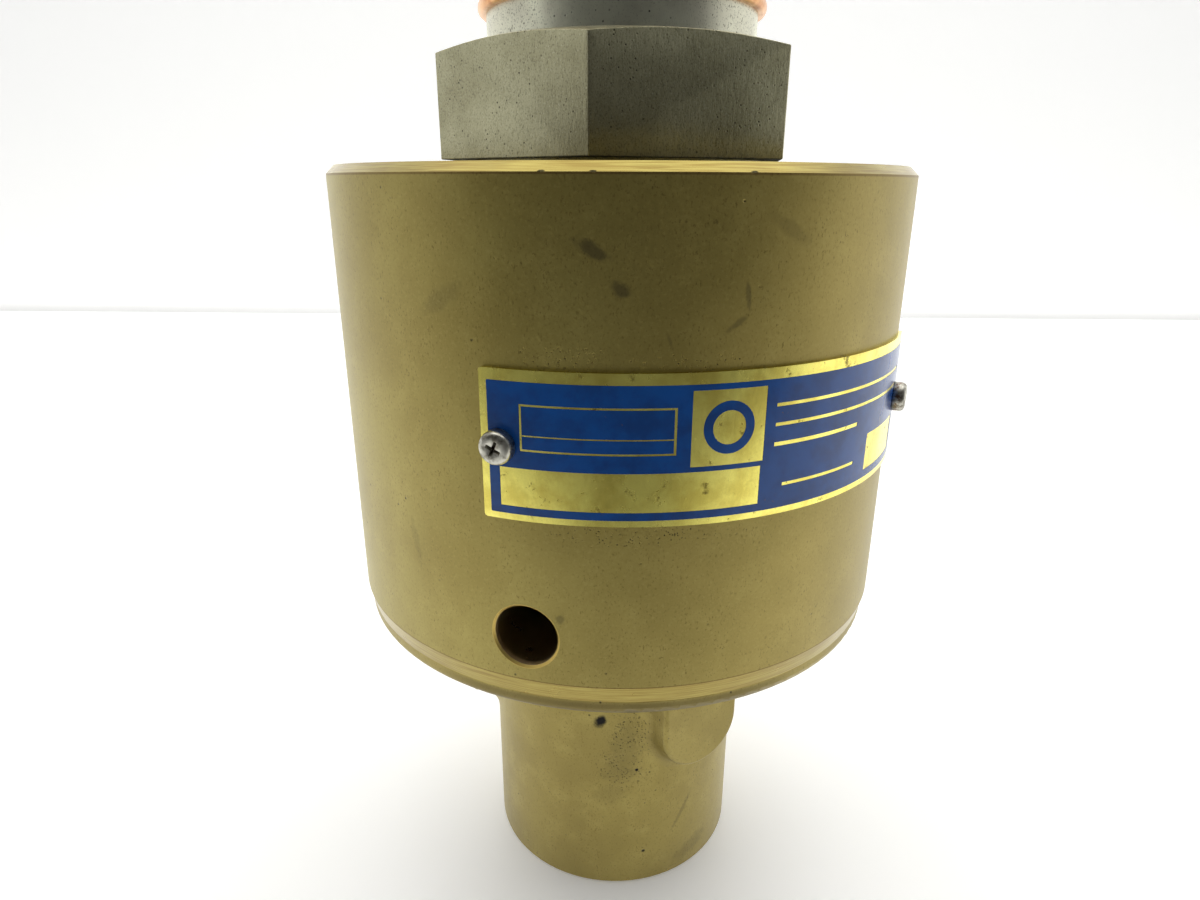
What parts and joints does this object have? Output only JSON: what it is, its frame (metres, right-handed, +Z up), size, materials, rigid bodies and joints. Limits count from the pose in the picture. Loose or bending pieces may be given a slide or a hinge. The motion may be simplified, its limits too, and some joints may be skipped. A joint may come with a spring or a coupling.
{
  "type": "hydraulic rotary union",
  "caption": "Single-passage rotary union: cast brass housing with an inlet stub below, and a steel rotor with hexagon and threaded end that turns in two roller bearings above.",
  "frame": {"origin": "centre of the inlet stub's end face, on the turning axis, at the height that the part stands on", "axes": "+Z up the turning axis from the inlet stub towards the rotor's threaded end; -Y is the front, between the leak hole and the nameplate; +X to the right seen from the front"},
  "size_m": [0.1, 0.1006, 0.1846],
  "materials": {
    "cast_brass": "oxidised cast and turned brass",
    "rotor_steel": "dark machined steel, lightly pitted",
    "copper": "annealed copper",
    "bearing": "ground bearing steel",
    "rollers": "ground steel",
    "cage": "machined brass cage",
    "spacer": "turned steel",
    "spring_steel": "oiled spring steel",
    "rubber": "nitrile rubber",
    "hard_ring": "lapped hard seal face",
    "carbon": "carbon graphite",
    "carrier_steel": "turned stainless steel",
    "plate": "printed brass sheet, blue field with brass border",
    "screw_zinc": "zinc plated, rust in the recess"
  },
  "bodies": {
    "housing": {"housing": "cast_brass", "nameplate": "plate", "plate_screws": "screw_zinc", "bore_circlip": "spring_steel", "shaft_seal": "rubber", "garter_spring": "spring_steel", "lower_bearing_outer_ring": "bearing", "upper_bearing_outer_ring": "bearing", "outer_spacer": "spacer", "lock_pins": "spring_steel", "seal_spring": "spring_steel"},
    "rotor": {"rotor": "rotor_steel", "copper_washer": "copper", "lower_bearing_inner_ring": "bearing", "upper_bearing_inner_ring": "bearing", "inner_spacer": "spacer", "shaft_circlip": "spring_steel", "turning_seal_ring": "hard_ring", "turning_ring_o_ring": "rubber"},
    "lower_cage": {"lower_bearing_cage": "cage", "lower_bearing_rollers": "rollers"},
    "upper_cage": {"upper_bearing_cage": "cage", "upper_bearing_rollers": "rollers"},
    "seal_carrier": {"seal_carrier": "carrier_steel", "carbon_seal_ring": "carbon", "carrier_o_ring": "rubber"}
  },
  "joints": [
    {"name": "rotor_spin", "type": "hinge", "parent": "housing", "child": "rotor", "pos_m": [0, 0, 0.14], "axis": [0, 0, 1], "continuous": true},
    {"name": "lower_cage_spin", "type": "hinge", "parent": "housing", "child": "lower_cage", "pos_m": [0, 0, 0.088], "axis": [0, 0, 1], "continuous": true},
    {"name": "upper_cage_spin", "type": "hinge", "parent": "housing", "child": "upper_cage", "pos_m": [0, 0, 0.115], "axis": [0, 0, 1], "continuous": true},
    {"name": "seal_float", "type": "slide", "parent": "housing", "child": "seal_carrier", "axis": [0, 0, -1], "range_m": [0, 0.0015], "stiffness_N_per_m": 4000, "springref_m": -0.003, "deforming": ["seal_spring"]}
  ],
  "couplings": [
    {"joint": "lower_cage_spin", "follows": "rotor_spin", "ratio": 0.4123},
    {"joint": "upper_cage_spin", "follows": "rotor_spin", "ratio": 0.4123}
  ]
}
